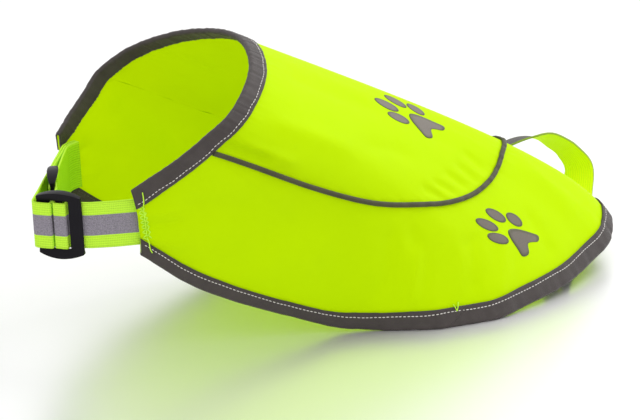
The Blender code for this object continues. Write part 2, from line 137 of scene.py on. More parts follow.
# Soft folds, listed: from one place on the cloth to another (gore, millimetres down), then how wide
# the fold is and how far it stands out, or in where that is negative
folds = [
    (-7.5, 14, -7.1, 44, 5, -1.5),  # dimple where the piping meets the neck tape
    (-7.2, 22, -6.6, 60, 6, 0.9),
    (-8.1, 30, -7.7, 78, 8, 0.8),
    (-7.2, 170, -6.2, 138, 7, -1.3),  # slant up from the hem, under the ribs
    (-6.7, 188, -5.9, 162, 5, 1.2),
    (-6.3, 186, -5.7, 148, 6, -1.1),
    (-5.2, 214, -4.5, 186, 7, -1.0),
    (-4.6, 230, -3.7, 206, 7, 0.8),
    (-3.0, 250, -2.6, 222, 6, -0.7),
    (-4.1, 159, -4.3, 143, 4, -0.8),  # gathers above the piping near the tail
    (-3.6, 168, -3.75, 149, 3.5, -0.9),
    (-3.15, 175, -3.1, 156, 3.5, -0.9),
    (-2.7, 182, -2.5, 164, 4, -0.8),
    (-2.1, 187, -1.8, 170, 4, -0.7),
    (-10.95, 15, -10.2, 27, 3, 0.7),  # pulls from the near tip
    (-10.95, 24, -10.1, 38, 3, -0.8),
    (-10.95, 31, -10.2, 53, 3, 0.7),
    (-9.9, 30, -8.6, 62, 9, -0.9),
    (-9.0, 92, -7.8, 124, 11, 1.0),
    (-2.5, 30, -2.1, 98, 10, -0.6),
    (-5.3, 28, -4.6, 90, 12, 1.0),
    (-4.0, 92, -3.3, 128, 9, -0.7),
    (8.6, 22, 8.1, 80, 12, 1.5),  # far side, seen through the neck
    (9.3, 28, 8.9, 92, 9, -1.2),
    (7.3, 26, 6.2, 78, 11, -1.2),
    (10.3, 20, 9.6, 54, 5, 1.0),
    (5.6, 20, 5.0, 64, 9, 0.9),
    (7.4, 172, 6.4, 138, 7, -1.1),
    (6.6, 188, 6.1, 160, 6, 1.1),
    (5.0, 218, 4.7, 186, 7, -0.9),
    (3.6, 244, 3.2, 214, 7, 0.8),
    (4.2, 160, 4.5, 141, 4, -0.8),
    (3.5, 170, 3.5, 152, 4, -0.9),
    (2.9, 179, 2.7, 161, 4, -0.8),
    (10.95, 18, 10.1, 30, 3, 0.7),
    (10.95, 29, 10.2, 46, 3, -0.8),
    (1.2, 222, 0.8, 272, 8, -0.8),
    (-0.7, 214, -1.5, 264, 9, 0.7),
]
folding = dict(
    across=23.0,  # millimetres to a gore, about the middle of the cloth
    scale=1.5,  # of every fold's height
    level=0.3,  # share of a fold's length, either way from its middle, that keeps its height
    fade=0.2,  # how soon it dies out past that
    edge=12,  # millimetres from the neck or the hem within which folds flatten
)
puckering = dict(
    waves=[(16.3, 0.0, 0.5), (27.1, 1.3, 0.32), (7.7, 0.4, 0.4)],  # rate to a gore, shift, share
    reach=8,  # millimetres from a seam
    line=9,  # about how far from an edge its tape is stitched
    neck=0.24,
    hem=0.26,
    seam=0.3,
    none=99,  # millimetres, where there is no seam
)


def foldHeight(t, down):
    across = folding["across"]
    total = np.zeros_like(t)
    for gore, start, toGore, toStart, width, height in folds:
        dx, dy = (toGore - gore) * across, toStart - start
        x, y = t * across - gore * across, down - start
        along = (x * dx + y * dy) / (dx * dx + dy * dy)
        away = np.hypot(x - along * dx, y - along * dy)
        past = np.clip(np.abs(along - 0.5) - folding["level"], 0, None)
        ends = np.exp(-((past / folding["fade"]) ** 2))
        total += folding["scale"] * height * ends * np.exp(-((away / width) ** 2))
    return total


def pucker(t, fromSeam, height):
    # uneven ripples that sewing draws up beside a seam
    wave = sum(np.sin(t * rate + phase) * share for rate, phase, share in puckering["waves"])
    return height * wave * np.exp(-np.clip(fromSeam, 0, None) / puckering["reach"])


def lift(t, down):
    toHem = goreLength(t) - down
    edge, line = folding["edge"], puckering["line"]
    bump = foldHeight(t, down) * np.clip(toHem / edge, 0, 1) * np.clip(down / edge + 0.1, 0, 1)
    bump += pucker(t, down - line, puckering["neck"])
    bump += pucker(t + 3.1, toHem - line, puckering["hem"])  # other ripples than at the neck
    fromSeam = np.where(np.abs(t) < cloth["seamEnd"], np.abs(down - seamDown(t)), puckering["none"])
    return bump + pucker(t + 1.7, fromSeam, puckering["seam"])


def clothPoints(t, down, out=0.0, folded=True):
    t = np.atleast_1d(np.asarray(t, float))
    down = np.broadcast_to(np.asarray(down, float), t.shape)
    share = down / goreLength(t)
    normal = fromTable(clothNormals, t, share)
    normal /= np.linalg.norm(normal, axis=1)[:, None]
    out = out + (lift(t, down) if folded else 0)
    return fromTable(clothTable, t, share) + normal * np.broadcast_to(out, t.shape)[:, None]


def clothPoint(t, down, out=0.0, folded=False):
    return Vector(clothPoints(t, down, out, folded)[0])


# How far the cloth moves into the solids' frame: its hem tape lies in the solid tape's box
hemLow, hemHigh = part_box("hem_binding")
tailEnd = clothPoint(0, goreLength(0), cloth["gap"] + cloth["leaf"])
shift = np.array([hemHigh[0] / mm - tailEnd.x, (hemLow[1] + hemHigh[1]) / 2 / mm, 0])


def inFrame(points):
    return (np.asarray(points) + shift) * mm


view = dict(azimuth=-25, elevation=20, distance=6.0, lens=540, aim=(-43, 0, 54))  # aim in millimetres


def placeCamera():
    azimuth, elevation = radians(view["azimuth"]), radians(view["elevation"])
    towards = Vector((sin(azimuth) * cos(elevation), -cos(azimuth) * cos(elevation), sin(elevation)))
    data = bpy.data.cameras.new("camera")
    data.lens = view["lens"]
    data.clip_end = 50
    camera = bpy.data.objects.new("camera", data)
    bpy.context.scene.collection.objects.link(camera)
    camera.location = Vector(inFrame(view["aim"])) + towards * view["distance"]
    camera.rotation_euler = towards.to_track_quat("Z", "Y").to_euler()
    bpy.context.scene.camera = camera


def areaLight(name, place, size, power):
    light = bpy.data.lights.new(name, "AREA")
    light.shape = "RECTANGLE"
    light.size, light.size_y = size
    light.energy = power
    lamp = bpy.data.objects.new(name, light)
    bpy.context.scene.collection.objects.link(lamp)
    lamp.location = place
    lamp.rotation_euler = Vector(place).to_track_quat("Z", "Y").to_euler()


studio = dict(  # each light's place in metres, size and watts
    world=1.0,
    top=((0.75, 0.15, 1.0), (0.8, 0.8), 7),
    front=((-1.2, -1.2, 0.7), (0.9, 0.9), 1.5),
)


def lightStudio():
    areaLight("topSoftbox", *studio["top"])
    areaLight("frontSoftbox", *studio["front"])
    world = bpy.data.worlds.new("studio")
    world.use_nodes = True
    world.node_tree.nodes["Background"].inputs["Color"].default_value = (1, 1, 1, 1)
    world.node_tree.nodes["Background"].inputs["Strength"].default_value = studio["world"]
    bpy.context.scene.world = world
    bpy.context.scene.view_settings.view_transform = "Standard"


def newMaterial(name, colour, roughness, **sockets):
    material = bpy.data.materials.new(name)
    material.use_nodes = True
    shader = material.node_tree.nodes["Principled BSDF"]
    shader.inputs["Base Color"].default_value = (*colour, 1)
    shader.inputs["Roughness"].default_value = roughness
    for socket, value in sockets.items():
        shader.inputs[socket.replace("_", " ")].default_value = value
    return material


def addNode(material, kind, **settings):
    node = material.node_tree.nodes.new("ShaderNode" + kind)
    for key, value in settings.items():
        if key in node.inputs:
            node.inputs[key].default_value = value
        else:
            setattr(node, key, value)
    return node


def feed(material, source, socket):
    if hasattr(source, "links"):
        material.node_tree.links.new(source, socket)
    else:
        socket.default_value = source if isinstance(source, (int, float)) else (*source, 1)


def mixColours(material, factor, first, second):
    mix = addNode(material, "Mix", data_type="RGBA")
    feed(material, factor, mix.inputs[0])
    feed(material, first, mix.inputs[6])
    feed(material, second, mix.inputs[7])
    return mix.outputs[2]


def maths(material, operation, first, second=0.0):
    node = addNode(material, "Math", operation=operation)
    feed(material, first, node.inputs[0])
    feed(material, second, node.inputs[1])
    return node.outputs["Value"]


def uvParts(material):
    uv = addNode(material, "UVMap")
    parts = addNode(material, "SeparateXYZ")
    feed(material, uv.outputs["UV"], parts.inputs["Vector"])
    return parts.outputs["X"], parts.outputs["Y"]


def ripple(material, position, pitch):
    return maths(material, "SINE", maths(material, "MULTIPLY", position, 2 * pi / pitch))


def noise(material, scale, detail=3.0, roughness=0.5):
    coordinates = addNode(material, "TexCoord")
    node = addNode(material, "TexNoise", Scale=scale, Detail=detail, Roughness=roughness)
    feed(material, coordinates.outputs["Object"], node.inputs["Vector"])
    return node.outputs["Fac"]


def addBump(material, height, distance, strength=1.0):
    # a later bump stands on the earlier one
    shader = material.node_tree.nodes["Principled BSDF"]
    bump = addNode(material, "Bump", Distance=distance, Strength=strength)
    feed(material, height, bump.inputs["Height"])
    if shader.inputs["Normal"].links:
        feed(material, shader.inputs["Normal"].links[0].from_socket, bump.inputs["Normal"])
    feed(material, bump.outputs["Normal"], shader.inputs["Normal"])


def paint(material, colour):
    feed(material, colour, material.node_tree.nodes["Principled BSDF"].inputs["Base Color"])


def clothMaterial(name, light, deep, paintedGlow):
    # fluorescent plain weave, with its emission as painted light: a little glow stands partly for its real
    # fluorescence and partly flattens its shading, and a strong glow on the inside copy stands in for light
    # that comes through the cloth and bounces round the hollow
    material = newMaterial(
        name,
        light,
        0.6,
        Specular_IOR_Level=0.06,
        Specular_Tint=(0.8, 1.0, 0.2, 1),
        Emission_Color=(*light, 1),
        Emission_Strength=paintedGlow,
    )
    warp, weft = uvParts(material)
    pitch = 0.0009
    threads = maths(material, "MULTIPLY", ripple(material, warp, pitch), ripple(material, weft, pitch))
    shade = maths(material, "ADD", maths(material, "MULTIPLY", threads, 0.08), noise(material, 14, 4))
    paint(material, mixColours(material, shade, deep, light))
    addBump(material, noise(material, 55, 3), 0.0007)
    addBump(material, threads, 0.00006, 0.6)
    return material


def tapeMaterial(name, colour, pale, pitch=0.0007):
    material = newMaterial(
        name, colour, 0.5, Sheen_Weight=0.12, Sheen_Roughness=0.35, Specular_IOR_Level=0.35
    )
    warp, weft = uvParts(material)
    weave = maths(material, "MULTIPLY", ripple(material, warp, pitch), ripple(material, weft, pitch))
    shade = maths(material, "ADD", maths(material, "MULTIPLY", weave, 0.16), noise(material, 90, 5, 0.65))
    paint(material, mixColours(material, shade, colour, pale))
    addBump(material, noise(material, 130, 3), 0.0006)
    addBump(material, weave, 0.00008, 0.8)
    return material


def webbingMaterial(name, lime, grey=None, stripe=0.0, paintedGlow=0.0):
    # ribbed along its length, with a beaded grey stripe this half width down the middle
    # any emission given here is painted light, a glow that brightens the lime beyond what its lighting gives
    material = newMaterial(
        name, lime, 0.65, Specular_IOR_Level=0.12, Emission_Color=(*lime, 1), Emission_Strength=paintedGlow
    )
    along, across = uvParts(material)
    picks = maths(material, "MULTIPLY", ripple(material, along, 0.0011), 0.5)
    threads = maths(material, "ADD", ripple(material, across, 0.0015), picks)
    yarn = maths(material, "ADD", maths(material, "MULTIPLY", threads, 0.22), 0.6)
    colour = mixColours(material, yarn, [c * 0.7 for c in lime], [min(c * 1.08, 1) for c in lime])
    if grey:
        inside = maths(material, "LESS_THAN", maths(material, "ABSOLUTE", across), stripe)
        beads = noise(material, 1300, 1, 0.7)
        beaded = mixColours(material, beads, [c * 0.5 for c in grey], [min(c * 1.7, 1) for c in grey])
        colour = mixColours(material, inside, colour, beaded)
    paint(material, colour)
    addBump(material, threads, 0.00013, 0.8)
    return material


def plasticMaterial():
    material = newMaterial("blackMouldedPlastic", (0.006, 0.005, 0.008), 0.36, Specular_IOR_Level=0.13)
    wear = noise(material, 45, 5, 0.65)
    paint(material, mixColours(material, wear, (0.003, 0.002, 0.004), (0.008, 0.007, 0.01)))
    addBump(material, noise(material, 420, 2), 0.00008, 0.5)
    return material


def printMaterial():
    # beaded grey transfer, olive at its rim: the UV map's first number runs from 0 in the middle to 1 there
    material = newMaterial("greyReflectivePrint", (0.12, 0.1, 0.08), 0.4, Specular_IOR_Level=0.4)
    reach, _ = uvParts(material)
    ramp = addNode(material, "ValToRGB")
    feed(material, reach, ramp.inputs["Fac"])
    ramp.color_ramp.elements[0].position = 0.7
    ramp.color_ramp.elements[0].color = (0.13, 0.112, 0.088, 1)
    ramp.color_ramp.elements[1].position = 0.95
    ramp.color_ramp.elements[1].color = (0.05, 0.056, 0.008, 1)
    beads = noise(material, 1100, 1, 0.6)
    glint = maths(material, "MULTIPLY", beads, 0.25)
    paint(material, mixColours(material, glint, ramp.outputs["Color"], (0.3, 0.27, 0.26)))
    addBump(material, beads, 0.00005, 0.5)
    return material


def threadMaterial(name, colour):
    material = newMaterial(name, colour, 0.6, Specular_IOR_Level=0.15)
    paint(material, mixColours(material, noise(material, 700, 2), [c * 0.8 for c in colour], colour))
    return material


def floorMaterial():
    material = newMaterial("paleGlossFloor", (0.97, 0.97, 0.97), 0.33, Metallic=0.64)
    paint(material, mixColours(material, noise(material, 3, 2), (0.96, 0.96, 0.96), (0.98, 0.98, 0.98)))
    return material


lime = (0.56, 1.0, 0.05)
# Both cloths glow, which is painted light: the outer one a little, for its fluorescence and flatter shading;
# the inside one strongly, as painted light through the cloth and bounced in the hollow
outerCloth = clothMaterial("fluorescentYellowCloth", (0.5, 0.76, 0.0), (0.43, 0.68, 0.0), 0.07)
innerCloth = clothMaterial("fluorescentYellowInsidePaintedGlow", (0.45, 0.63, 0.0), (0.39, 0.55, 0.0), 0.43)
greyTape = tapeMaterial("greyReflectiveTape", (0.032, 0.025, 0.023), (0.072, 0.058, 0.055))
darkPiping = tapeMaterial("darkReflectivePiping", (0.026, 0.026, 0.008), (0.08, 0.078, 0.035))
stripedWebbing = webbingMaterial("limeWebbingGreyStripe", lime, (0.235, 0.215, 0.25), 0.0067)
plainWebbing = webbingMaterial("limeWebbingPlain", (0.46, 0.85, 0.01))
beltOutside = webbingMaterial("greyReflectiveElastic", (0.3, 0.42, 0.06), (0.11, 0.105, 0.1), 0.0094)
# the belly elastic's lime inner face glows: painted light that brightens it beyond what its lighting gives
beltInside = webbingMaterial("limeElasticPaintedGlow", (0.68, 1.0, 0.0), paintedGlow=0.16)
blackPlastic = plasticMaterial()
greyPrint = printMaterial()
whiteThread = threadMaterial("whiteThread", (0.85, 0.82, 0.78))
limeThread = threadMaterial("limeThread", (0.6, 1.0, 0.06))
darkThread = threadMaterial("darkBobbinThread", (0.12, 0.12, 0.09))


def finishPiece(name, mesh, materials, nodes=(), slot=None):
    data = bpy.data.meshes.new(name)
    mesh.to_mesh(data)
    mesh.free()
    for material in materials:
        data.materials.append(material)
    data.shade_smooth()
    piece = bpy.data.objects.new(name, data)
    bpy.context.scene.collection.objects.link(piece)
    if slot:
        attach(piece, "root")
    if nodes:
        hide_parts(*nodes)
    return piece


def laidGrid(cells, place, uvSize):
    # a grid whose corners place(u, v) lays down, u and v from 0 to 1, with its UV map in metres
    mesh = bmesh.new()
    uvLayer = mesh.loops.layers.uv.new("UVMap")
    bmesh.ops.create_grid(mesh, x_segments=cells[0], y_segments=cells[1], size=1)
    for face in mesh.faces:
        for loop in face.loops:
            u, v = (loop.vert.co.x + 1) / 2, (loop.vert.co.y + 1) / 2
            loop[uvLayer].uv = (u * uvSize[0], (v - 0.5) * uvSize[1])
    corners = np.array([vert.co.xy for vert in mesh.verts])
    for vert, point in zip(mesh.verts, inFrame(place((corners[:, 0] + 1) / 2, (corners[:, 1] + 1) / 2))):
        vert.co = point
    return mesh


def smoothRoute(rows, s):
    # a smooth curve through the rows, at these row numbers
    s = np.clip(s, 0, len(rows) - 1)
    i = np.minimum(s.astype(int), len(rows) - 2)
    f = (s - i)[:, None]
    padded = np.vstack([2 * rows[0] - rows[1], rows, 2 * rows[-1] - rows[-2]])
    a, b, c, d = padded[i], padded[i + 1], padded[i + 2], padded[i + 3]
    return 0.5 * (2 * b + (c - a) * f + (2 * a - 5 * b + 4 * c - d) * f**2 + (3 * b - a - 3 * c + d) * f**3)


mergeWithin = 0.01 * mm


def laidTube(name, centre, sides, cells, material, slot, nodes=(), width=0.5, height=0.5):
    # centre(v) gives the tube's middle line, and its two directions across, at v from 0 to 1
    def place(u, v):
        middle, across, up = centre(v)
        a = (2 * pi * u)[:, None]
        return middle + np.cos(a) * across * width / 2 + np.sin(a) * up * height / 2

    mesh = laidGrid((sides, cells), place, (width * pi * mm, 0.2))
    bmesh.ops.remove_doubles(mesh, verts=mesh.verts, dist=mergeWithin)
    bmesh.ops.holes_fill(mesh, edges=[edge for edge in mesh.edges if edge.is_boundary], sides=0)
    bmesh.ops.recalc_face_normals(mesh, faces=mesh.faces)
    return finishPiece(name, mesh, [material], nodes, slot)


def addWall(piece, thickness, offset=-1.0, innerSlot=0):
    wall = piece.modifiers.new("wall", "SOLIDIFY")
    wall.thickness = thickness * mm
    wall.offset = offset
    wall.use_even_offset = True
    wall.material_offset = innerSlot


def makePanel(name, node, reach, start, stop, cells, uvSize):
    def place(u, v):
        t = reach * (2 * v - 1)
        return clothPoints(t, start(t) + (stop(t) - start(t)) * u)

    panel = finishPiece(name, laidGrid(cells, place, uvSize), [outerCloth, innerCloth], [node], "cloth")
    addWall(panel, cloth["wall"], innerSlot=1)
    return panel


def sidePanelTop(t):
    # below the seam, and in front of the seam's end at the neck edge
    past = np.clip((np.abs(t) - cloth["seamEnd"]) / 0.15, 0, 1)
    return seamDown(t) * (1 - past) + cloth["edge"] * past


def makePanels():
    back = makePanel(
        "backCloth",
        "back_panel",
        cloth["seamEnd"],
        lambda t: np.full_like(t, cloth["edge"]),
        seamDown,
        (72, 250),
        (0.2, 0.21),
    )
    side = makePanel(
        "sideCloth",
        "side_panel",
        tip,
        sidePanelTop,
        lambda t: goreLength(t) - cloth["edge"],
        (80, 340),
        (0.14, 0.6),
    )


tape = dict(
    width=12.0,  # folded
    around=26.0,  # round both leaves
    thick=0.9,
    cells=24,
    puff=0.06,  # how far it swells between fold and stitches, as a share
    puffMiddle=6,
    puffReach=3.5,
)
tapeRuns = [  # name, node, from the hem, inner leaf's width, cells along it, length in metres
    ("neckTape", "neck_binding", False, 9.6, 330, 0.335),
    ("hemTape", "hem_binding", True, 11.5, 560, 0.815),
]


def tapeProfile(v, innerWidth):
    # from the inner leaf's edge round the fold to the outer leaf's: distance from the rim, and height
    radius = cloth["wall"] / 2 + cloth["gap"] + tape["thick"] / 2
    inner, outer = innerWidth - radius, tape["width"] - radius
    s = v * (inner + outer + pi * radius)
    a = np.clip((s - inner) / radius, 0, pi)
    distance = np.where(s < inner, innerWidth - s, radius * (1 - np.sin(a)))
    distance = np.where(a >= pi, radius + s - inner - pi * radius, distance)
    return distance, -np.cos(a) * radius


def makeTape(name, node, fromHem, innerWidth, cells, length):
    middle = -cloth["wall"] / 2

    def place(u, v):
        t = tip * (2 * v - 1)
        distance, height = tapeProfile(1 - u if fromHem else u, innerWidth)
        down = goreLength(t) - distance if fromHem else distance
        swell = tape["puff"] * np.exp(-(((distance - tape["puffMiddle"]) / tape["puffReach"]) ** 2))
        swell = swell * np.sin(t * 13.1 + 2 * np.sin(t * 3.7)) * np.sin(t * 1.9)  # unevenly along it
        points = clothPoints(t, down, middle + height * (1 + swell))
        points[:, 2] = np.maximum(points[:, 2], tape["thick"] / 2)
        return points

    mesh = laidGrid((tape["cells"], cells), place, (tape["around"] * mm, length))
    piece = finishPiece(name, mesh, [greyTape], [node], "binding")
    addWall(piece, tape["thick"], offset=0)


joins = [  # where two ends of tape overlap: name, from the hem, leaf, gore, slant in gores, length in gores
    ("neckJoin", False, -1, 1.9, -0.5, -1.6),
    ("hemJoin", True, 1, -5.9, 0.5, -0.6),
]
join = dict(
    fromFold=0.9,
    inner=9,  # depth on the inner leaf
    outer=10.8,  # and on the outer one
    lift=0.05,
    sink=0.5,
    thick=0.4,
    cells=12,
)


def makeTapeJoin(name, fromHem, leaf, gore, slant, length):
    # its far edge sinks into the tape below
    high = cloth["gap"] + tape["thick"] + join["lift"]

    def place(u, v):
        distance = join["fromFold"] + u * (join["inner"] if leaf < 0 else join["outer"])
        t = gore + v * length + u * slant
        out = high - join["sink"] * v
        out = out if leaf > 0 else -cloth["wall"] - out
        return clothPoints(t, goreLength(t) - distance if fromHem else distance, out)

    size = tape["width"] * mm
    mesh = laidGrid((join["cells"], join["cells"]), place, (size, size))
    bmesh.ops.recalc_face_normals(mesh, faces=mesh.faces)
    addWall(finishPiece(name, mesh, [greyTape], slot="binding"), join["thick"], offset=0)


def makeTapes():
    for run in tapeRuns:
        makeTape(*run)
    for row in joins:
        makeTapeJoin(*row)


piping = dict(width=3.3, height=2.3, sunk=0.5, sides=14, cells=430)
nextStep = 0.02  # gores or rows, to find which way a line runs


def makePiping():
    sewn = np.abs(goreNumbers) < cloth["seamEnd"]
    ends = goreNumbers[sewn & (seamDown(goreNumbers) > tape["width"] - 1)]  # just under the neck tape

    def onSeam(t, out=0):
        return clothPoints(t, seamDown(t), out, False)

    def centre(v):
        t = ends[0] + (ends[-1] - ends[0]) * v
        middle = clothPoints(t, seamDown(t), cloth["gap"] + piping["height"] / 2 - piping["sunk"])
        up = onSeam(t, 1) - onSeam(t)
        across = np.cross(onSeam(t + nextStep) - onSeam(t - nextStep), up)
        return middle, across / np.linalg.norm(across, axis=1)[:, None], up

    laidTube(
        "pipingCord",
        centre,
        piping["sides"],
        piping["cells"],
        darkPiping,
        "piping",
        ["piping"],
        piping["width"],
        piping["height"],
    )


stitch = dict(
    pitch=2.6,
    size=(2.1, 0.6, 0.45),
    off=0.08,  # above its tape
    uneven=0.05,  # share of the pitch
    wander=0.25,  # of the whole row, across the tape
    fromTip=0.06,  # gores
    sides=6,
    rings=4,
)
tipStitch = dict(  # lime overlocking
    pitch=1.7,
    size=(3.8, 1.0, 0.8),
    off=0.25,
    rows=[(0.04, 1.1), (0.12, 0.7)],  # gores further in, lean in radians
    fromTip=0.05,
)


def stitchedLine(mesh, line, raised, size, pitch, lean=0.0):
    # line: points in order along the seam; raised: the same points lifted, to say which way is out
    runs = np.concatenate([[0], np.cumsum(np.linalg.norm(np.diff(line, axis=0), axis=1))])
    at = np.arange(pitch / 2, runs[-1], pitch)
    at += np.sin(np.arange(len(at)) * 1.7) * pitch * stitch["uneven"]

    def read(points, s):
        return inFrame(np.array([np.interp(s, runs, points[:, k]) for k in range(3)]).T)

    halfOn = 0.5  # millimetres along the line
    for n, (here, up, following) in enumerate(zip(read(line, at), read(raised, at), read(line, at + halfOn))):
        here = Vector(here)
        out = (Vector(up) - here).normalized()
        along = (Vector(following) - here).normalized()
        along = Matrix.Rotation(lean * (-1) ** n, 3, out) @ along
        side = out.cross(along).normalized()
        axes = [d * s * mm / 2 for d, s in zip((along, side, along.cross(side)), size)]
        turn = Matrix(axes).transposed().to_4x4()
        bmesh.ops.create_uvsphere(
            mesh,
            u_segments=stitch["sides"],
            v_segments=stitch["rings"],
            radius=1,
            matrix=Matrix.Translation(here) @ turn,
        )


def makeTapeStitches(name, fromHem, fromEdge):
    # one seam, seen on both leaves: white on the outer one, a dark bobbin thread on the inner one
    reach = tip - stitch["fromTip"]
    t = np.linspace(-reach, reach, 2400)
    distance = tape["width"] - fromEdge + stitch["wander"] * np.sin(t * 5.1)
    down = goreLength(t) - distance if fromHem else distance
    outer = cloth["gap"] + tape["thick"] + stitch["off"]
    inner = -cloth["wall"] - outer
    for word, out, up, thread in (("Outer", outer, 1, whiteThread), ("Inner", inner, -1, darkThread)):
        mesh = bmesh.new()
        line, raised = clothPoints(t, down, out), clothPoints(t, down, out + up)
        stitchedLine(mesh, line, raised, stitch["size"], stitch["pitch"])
        finishPiece(name + word, mesh, [thread], slot="binding")


def makeTipStitches():
    # they close a tip over the webbing
    off, reach = tipStitch["off"], tip - tipStitch["fromTip"]
    for word, t in (("near", -reach), ("far", reach)):
        mesh = bmesh.new()
        down = np.linspace(tape["width"], goreLength(t) - tape["width"], 60)
        gores = np.full_like(down, t)
        for out, up in ((off, 1), (-cloth["wall"] - off, -1)):
            for inset, lean in tipStitch["rows"]:
                line = clothPoints(gores - np.sign(t) * inset, down, out)
                raised = clothPoints(gores - np.sign(t) * inset, down, out + up)
                stitchedLine(mesh, line, raised, tipStitch["size"], tipStitch["pitch"], lean)
        finishPiece(f"{word}TipStitches", mesh, [limeThread], slot="cloth")


threadEnds = [  # name, then places that the thread lies through: gore, millimetres down, height off the cloth
    ("nearTipUpper", [(-10.6, 4.2, 1.8), (-10.67, 7, 1.9), (-10.75, 10.5, 1.7), (-10.81, 12.6, 1.2)]),
    ("nearTipMiddle", [(-10.84, 16, 0.5), (-10.87, 22, 0.8), (-10.88, 28, 1.0), (-10.88, 32, 1.6)]),
    ("nearTipHem", [(-10.88, 32, 1.6), (-10.86, 36, 2.0), (-10.84, 41, 1.8), (-10.8, 44.6, 1.9)]),
    ("hemJoinFront", [(-5.7, 212.2, 1.6), (-5.71, 210.2, 1.5), (-5.73, 206.8, 0.8)]),
    ("hemJoinBack", [(-5.7, 212.2, 1.6), (-5.66, 211, 1.5), (-5.6, 208.4, 0.9)]),
    ("farTipUpper", [(10.8, 11, 1.6), (10.74, 15, 0.9), (10.8, 20, 0.6), (10.76, 24, 0.9)]),
]
looseThread = dict(width=0.75, height=0.6, sides=6, cells=24)


def makeThreadEnd(name, places):
    route = clothPoints([p[0] for p in places], [p[1] for p in places], [p[2] for p in places])

    def centre(v):
        middle = smoothRoute(route, v * (len(route) - 1))
        ahead = smoothRoute(route, v * (len(route) - 1) + nextStep) - middle
        across = np.cross(ahead, [0.3, 0.5, 0.8])
        across /= np.linalg.norm(across, axis=1)[:, None]
        up = np.cross(across, ahead)
        return middle, across, up / np.linalg.norm(up, axis=1)[:, None]

    laidTube(name + "Thread", centre, material=limeThread, slot="cloth", **looseThread)


paw = dict(lift=0.08, film=0.14, rings=9, spokes=64, lean=0.2, width=0.78)  # the print's lean and width
printPlaces = [("back", 1.42, 137.7, -27.5), ("flank", 3.36, 222.7, 4.3)]  # name, gore, down, turn
toes = [  # name, middle, length, width and turn, in a print that points along x
    ("toe_a", 12.5, -15.5, 15.5, 11, -34),
    ("toe_b", 25, -8.5, 17, 12, -14),
    ("toe_c", 25, 8.5, 17, 12, 14),
    ("toe_d", 12.5, 15.5, 15.5, 11, 34),
]
mainPad = [(11, 0), (7, 6.5), (-3, 12), (-9, 14.5), (-11, 8.5), (-6, 0)]


def toeRim(x, y, length, width, turn):
    a = 2 * pi * np.arange(paw["spokes"]) / paw["spokes"]
    u, v = np.cos(a) * length / 2, np.sin(a) * width / 2
    turn = radians(turn)
    return np.array([x + u * cos(turn) - v * sin(turn), y + u * sin(turn) + v * cos(turn)]).T


def mainPadRim():
    corners = np.array(mainPad + [(x, -y) for x, y in reversed(mainPad[1:-1])], float)
    around = np.vstack([corners[-1:], corners, corners[:2]])
    s = 1 + len(corners) * np.arange(paw["spokes"]) / paw["spokes"]
    return smoothRoute(around, s)


def makePrint(name, gore, down, turn, side, word):
    t = gore * side
    rise = clothPoint(t, down - 1) - clothPoint(t, down + 1)
    perGore = (clothPoint(t + nextStep, down) - clothPoint(t - nextStep, down)) / (2 * nextStep)
    skew = perGore.dot(rise.normalized())
    spread = (perGore - rise.normalized() * skew).length
    a = radians(turn)
    for padName, rim in [(row[0], toeRim(*row[1:])) for row in toes] + [("main_pad", mainPadRim())]:
        middle = rim.mean(axis=0)
        rim = np.vstack([rim, rim[:1]])

        def place(u, v):
            k = np.round(v * paw["spokes"]).astype(int)
            x, y = (middle + (rim[k] - middle) * u[:, None]).T
            x, y = x + paw["lean"] * y, paw["width"] * y + paw["lean"] * x
            along, across = x * cos(a) - y * sin(a), x * sin(a) + y * cos(a)
            gores = side * across / spread
            return clothPoints(t + gores, down + gores * skew - along, paw["lift"])

        mesh = laidGrid((paw["rings"], paw["spokes"]), place, (1, 1))
        bmesh.ops.remove_doubles(mesh, verts=mesh.verts, dist=mergeWithin)
        out = clothPoint(t, down, 5) - clothPoint(t, down)
        if sum(face.normal.dot(out) for face in mesh.faces) < 0:
            bmesh.ops.reverse_faces(mesh, faces=mesh.faces)
        piece = finishPiece(
            f"print_{name}_{word}_{padName}", mesh, [greyPrint], [f"paw_{name}_{word}_{padName}"], "print"
        )
        addWall(piece, paw["film"], offset=1)


chest = dict(
    width=30.0,
    thick=1.1,
    height=87.2,  # of its middle line
    droop=3.9,  # degrees, towards the sliders
    sewn=9.0,  # length inside a tip
    tipPlay=1.7,  # between it and the cloth there
    wave=0.12,  # of its edges
)
slider = dict(
    sideBar=8.6,
    slot=3.8,
    centreBar=4.6,
    slotHeight=31.2,
    barThick=2.0,
    plateThick=4.0,  # above and below the slots, at its ends
    bulge=3.6,  # more in its middle
    plateHeight=3.0,
    arch=2.9,  # of its top and bottom edges
    rounding=0.6,
)
sliderLength = 2 * slider["sideBar"] + 2 * slider["slot"] + slider["centreBar"]
nearSlider = (-234.0, -33.0, 135.0)  # x, y, and heading of the webbing through it
farSlider = (-222.0, 3.0, 64.3)


def roundedPath(corners):
    points = [Vector(corners[0][:2])]
    for before, corner, after in zip(corners, corners[1:], corners[2:]):
        here = Vector(corner[:2])
        back = (Vector(before[:2]) - here).normalized()
        ahead = (Vector(after[:2]) - here).normalized()
        turn = pi - back.angle(ahead)
        cut = corner[2] * tan(turn / 2)
        steps = max(4, round(turn / radians(12)))
        centre = here + (back + ahead).normalized() * (corner[2] / cos(turn / 2))
        first = here + back * cut - centre
        side = 1 if back.cross(ahead) < 0 else -1
        points += [centre + Matrix.Rotation(side * turn * k / steps, 2) @ first for k in range(steps + 1)]
    points.append(Vector(corners[-1][:2]))
    return np.array(points)


def drooped(points):
    # turned down about the line between the front tips
    x, z = points[:, 0] - goreRows[-1][0], points[:, 2] - chest["height"]
    a = radians(chest["droop"])
    lowered = np.array([x * cos(a) - z * sin(a), points[:, 1], x * sin(a) + z * cos(a)]).T
    return lowered + [goreRows[-1][0], 0, chest["height"]]


def alongSlider(place):
    x, y, heading = place
    along = Vector((cos(radians(heading)), sin(radians(heading))))
    outwards = Vector((-along.y, along.x))
    start = Vector((x, y)) - along * sliderLength / 2
    return lambda u, v, radius=1.0: (*(start + along * u + outwards * v), radius)


